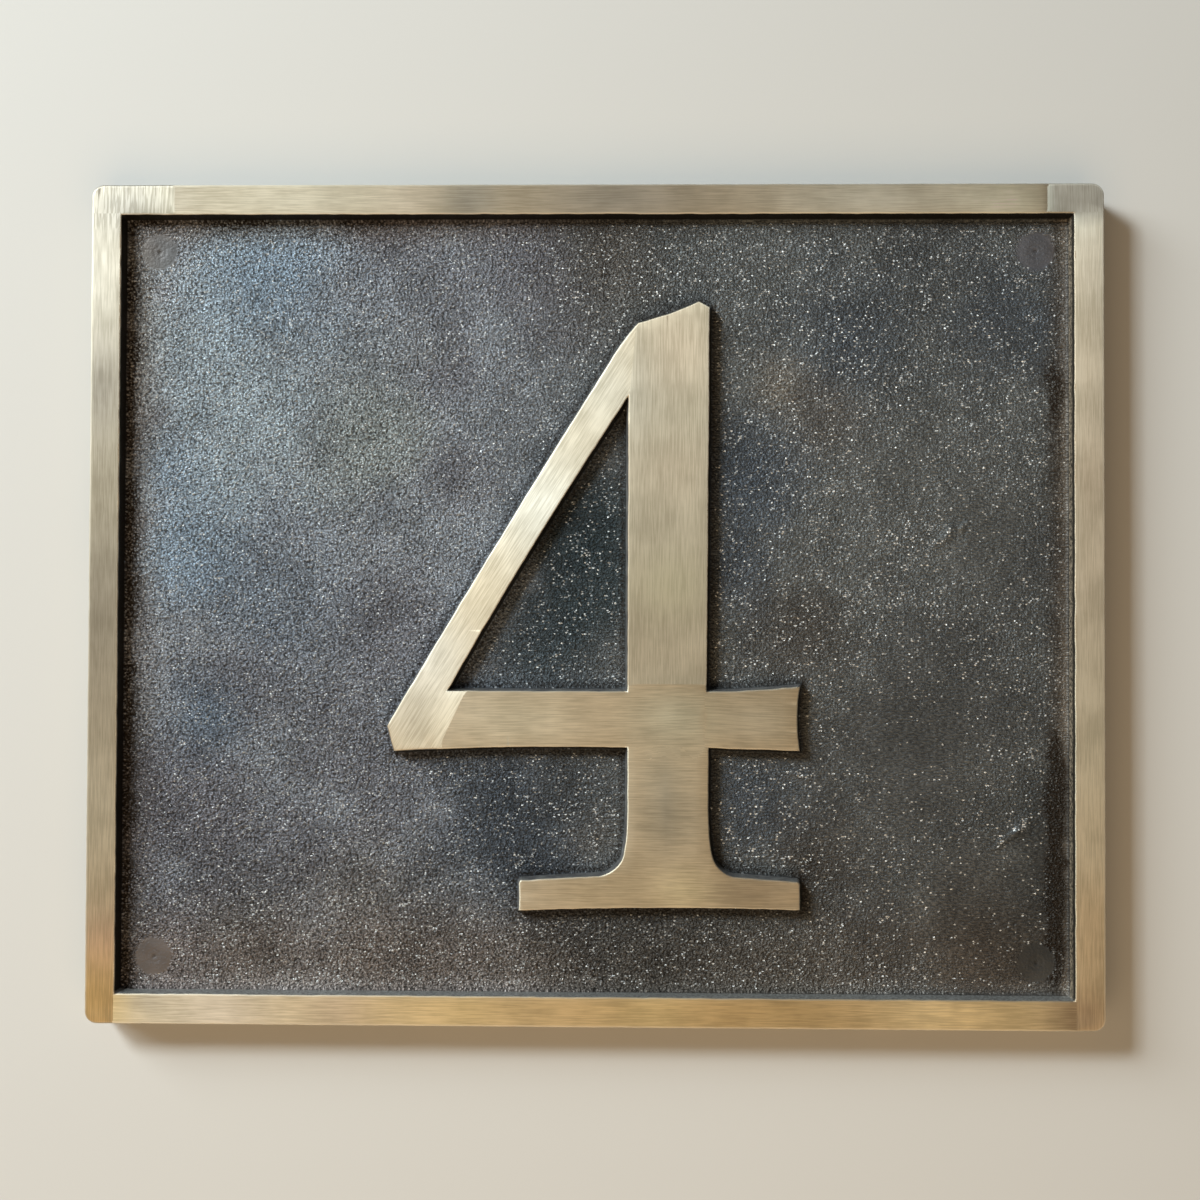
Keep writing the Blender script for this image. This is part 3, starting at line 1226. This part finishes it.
# Brush marks: u runs across the strokes, v along them
def addBrushLayer(mesh, shape, points, halfX, halfZ):
    angles = np.zeros(len(mesh.polygons))
    for k, face in enumerate(mesh.polygons):
        if shape["finish"][k] == bronzePart:
            cx, _, cz = face.center / mm
            inNumeral = abs(cx) < halfX - 2 and abs(cz) < halfZ - 2
            angles[k] = numeralStroke(cx, cz) if inNumeral else rimStroke(cx, cz, halfX, halfZ)
    counts = [len(face) for face in shape["faces"]]
    turn = np.radians(np.repeat(angles, counts))
    x, _, z = points[np.concatenate(shape["faces"])].T
    along = x * np.cos(turn) + z * np.sin(turn)
    across = z * np.cos(turn) - x * np.sin(turn)
    uv = mesh.uv_layers.new(name="brush")
    uv.data.foreach_set("uv", (np.stack([across, along], axis=1) * mm).ravel())


def makePlaque(groundFinish):
    look = plaqueLook
    shape = newShape()
    rimOuter, rimInner, numeral, counter = frontOutlines("plaque")
    halfX, halfZ = np.max(rimInner, axis=0)
    step, waver = look["outlineStep"], look["edgeWaver"]
    rings = {
        "outer": raisedEdge(shape, rimOuter, sideSection, 1, look["sideStep"], castingPart,
                            look["sideWaver"]),
        "inner": raisedEdge(shape, rimInner, reliefSection, -1, step, wallPart, waver),
        "numeral": raisedEdge(shape, numeral, reliefSection, 1, step, wallPart, waver),
        "counter": raisedEdge(shape, counter, reliefSection, -1, step, wallPart, waver),
    }
    roots = [rings[name][-1] for name in ("inner", "numeral", "counter")]
    print("edges:", shape["count"], "points")
    addPolishedFaces(shape, rings, halfX, halfZ)
    print("polished faces:", len(shape["faces"]), "faces so far")
    seats, drillEnds, flatFaces = addScrewSeats(shape)
    addGround(shape, roots, seats, halfX, halfZ)
    print("ground:", shape["count"], "points")
    addBack(shape, [rings["outer"][-1]] + drillEnds)
    onGround, numeralGap, edgeGap = shapeGround(shape, roots, rings["outer"])
    points = np.concatenate(shape["points"])
    x, z = points[:, 0], points[:, 2]

    piece = finishedMesh("plaqueCasting", shape,
                         [groundFinish, brushedBronze(), reliefWall(), dullCasting()])
    for k in flatFaces:
        piece.data.polygons[k].use_smooth = False

    # Tones, dirt and wear
    names = ("grime", "grainy", "glint", "edge", "scored", "caked")
    fields = {name: np.zeros(len(points)) for name in names}
    colours = {name: np.ones((len(points), 4)) for name in ("patina", "tint")}
    colours["patina"][:, :3] = groundTones(x, z)
    colours["tint"][:, :3] = metalTint(x, z)
    spots = points[onGround][:, [0, 2]]
    leeGap = nearestGap(spots + np.array(dirtLook["leeShift"]), numeral, counter)
    fields["grime"][onGround] = groundGrime(*spots.T, numeralGap, leeGap)
    fields["grainy"][onGround] = groundGrain(*spots.T)
    fields["glint"][onGround] = groundGlint(*spots.T) * eased(edgeGap, 0.1, 0.9)
    fields["buffed"] = inDisc(x, z, dirtLook["smoothDisc"])
    fields["scored"][(z > halfZ - 2) & (x < rimZones["topLeftEnd"])] = 1
    for edge in rings.values():
        for k, amount in edgeWear.items():
            fields["edge"][edge[k]] = amount
    for ring in rings["inner"]:
        fields["caked"][ring] = 1
        fields["edge"][ring] *= 1 - 0.8 * eased(x[ring], halfX - 1, halfX - 0.5)
    addFields(piece.data, fields, colours)
    addBrushLayer(piece.data, shape, points, halfX, halfZ)

    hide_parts("plaque")
    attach(piece, "root")
    print("plaque:", sum(len(face) - 2 for face in shape["faces"]), "triangles")


# The fixing screws

screwLook = {
    "segments": 36,
    "headRadius": 2.8,           # mm
    "land": 0.2,
    "neckRadius": 1.3,
    "threadRadius": 1.5,
    "threadRoot": 1.2,
    "pitch": 0.5,
    "crestFlat": 0.12,           # flat share of a crest
    "endTaper": 0.4,
    "socketFlats": 2.0,
    "dirtSink": 0.015,           # dirt in the socket, below the head
    "dimpleSink": 0.10,
    "dimpleGrime": 0.6,
    "headGrain": 0.03,
    "brass": (0.36, 0.27, 0.14, 1),
    "tarnish": (0.060, 0.052, 0.044, 1),
    "cloudSize": 1.6,
    "gritSize": 0.35,
    "gritRise": 0.05,
    "roughness": (0.35, 0.55),
}


def tarnishedBrass():
    look = screwLook
    finish, tree, shader = newFinish("tarnishedBrass", Metallic=0.95)
    place = objectPlace(tree)
    cloud = solidNoise(tree, place, look["cloudSize"], 3.0, 0.6)
    fine = solidNoise(tree, place, look["gritSize"], 2.0, 0.5)
    brass = mixed(tree, ranged(tree, cloud, 0.4, 0.7, 0.0, 0.7), look["brass"], look["tarnish"])
    feed(tree, shader, Base_Color=brass, Roughness=ranged(tree, fine, 0.3, 0.7, *look["roughness"]),
         Normal=bumped(tree, fine, 0.3, look["gritRise"]))
    return finish


def makeScrews(groundFinish):
    look = screwLook
    shape = newShape()
    low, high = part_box("fixing_screws")
    headLevel = low.y / mm
    tipLevel = high.y / mm
    turn = np.linspace(0, 2 * math.pi, look["segments"], endpoint=False)
    side = math.pi / 3
    hexagon = look["socketFlats"] / 2 / np.cos((turn + side / 2) % side - side / 2)
    head, neck, land = look["headRadius"], look["neckRadius"], look["land"]
    sink, dimple = look["dirtSink"], look["dimpleSink"]
    # Radius and depth: dirt-filled socket with a small dimple, then the flat of the head
    headSection = [(0.22, dimple * 0.9), (0.42, sink * 1.6), (hexagon * 0.72, sink * 0.7),
                   (hexagon * 0.94, sink), (hexagon, sink * 1.2), (hexagon * 1.03, 0.01),
                   (1.6, 0), (2.1, 0), (2.7, 0), (head - 0.04, 0.004), (head, 0.05)]
    shankSection = [(head, land), (neck, land + head - neck), (neck, backLevel - headLevel)]
    # Thread behind the plate
    for level in np.arange(backLevel, tipLevel + 0.001, look["pitch"] / 5):
        phase = (level / look["pitch"] - turn / (2 * math.pi)) % 1
        crest = np.clip((np.abs(2 * phase - 1) - look["crestFlat"]) / (1 - 2 * look["crestFlat"]), 0, 1)
        full = look["threadRoot"] + (look["threadRadius"] - look["threadRoot"]) * crest
        taper = max(0, level - (tipLevel - look["endTaper"]))
        shankSection.append((np.minimum(full, look["threadRadius"] - taper), level - headLevel))

    headPoints = []
    for cx, cz in screwPlaces():
        middle = addPoints(shape, [cx], headLevel + dimple, [cz])
        rings = [addCircle(shape, cx, cz, radius, headLevel + depth, turn)
                 for radius, depth in headSection + shankSection]
        tip = addPoints(shape, [cx], tipLevel, [cz])
        headPoints += [middle] + rings[:len(headSection)]
        for k in range(len(rings) - 1):
            joinRings(shape, rings[k], rings[k + 1], 0 if k < len(headSection) - 1 else 1)
        first, last = rings[0].tolist(), rings[-1].tolist()
        addFaces(shape, [[int(middle[0]), a, b] for a, b in zip(first, first[1:] + first[:1])], 0)
        addFaces(shape, [[int(tip[0]), b, a] for a, b in zip(last, last[1:] + last[:1])], 1)

    piece = finishedMesh("fixingScrews", shape, [groundFinish, tarnishedBrass()])
    points = np.concatenate(shape["points"])
    onHead = np.concatenate(headPoints)
    patina = np.ones((len(points), 4))
    patina[onHead, :3] = groundTones(points[onHead, 0], points[onHead, 2])
    fields = {name: np.zeros(len(points)) for name in ("grime", "grainy", "glint", "buffed")}
    fields["grime"][onHead] = eased(points[onHead, 1] - headLevel, 0.02, dimple) * look["dimpleGrime"]
    fields["grainy"][onHead] = look["headGrain"]
    fields["buffed"][onHead] = 1
    addFields(piece.data, fields, {"patina": patina})
    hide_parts("fixing_screws")
    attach(piece, "root")
    print("screws:", sum(len(face) - 2 for face in shape["faces"]), "triangles")


bpy.context.scene.view_settings.view_transform = "Standard"
makeCamera()
makeRoom()
makeLights()
print("room: camera, wall and", len(lampSetup), "lamps")
groundFinish = patinatedGround()
makePlaque(groundFinish)
makeScrews(groundFinish)
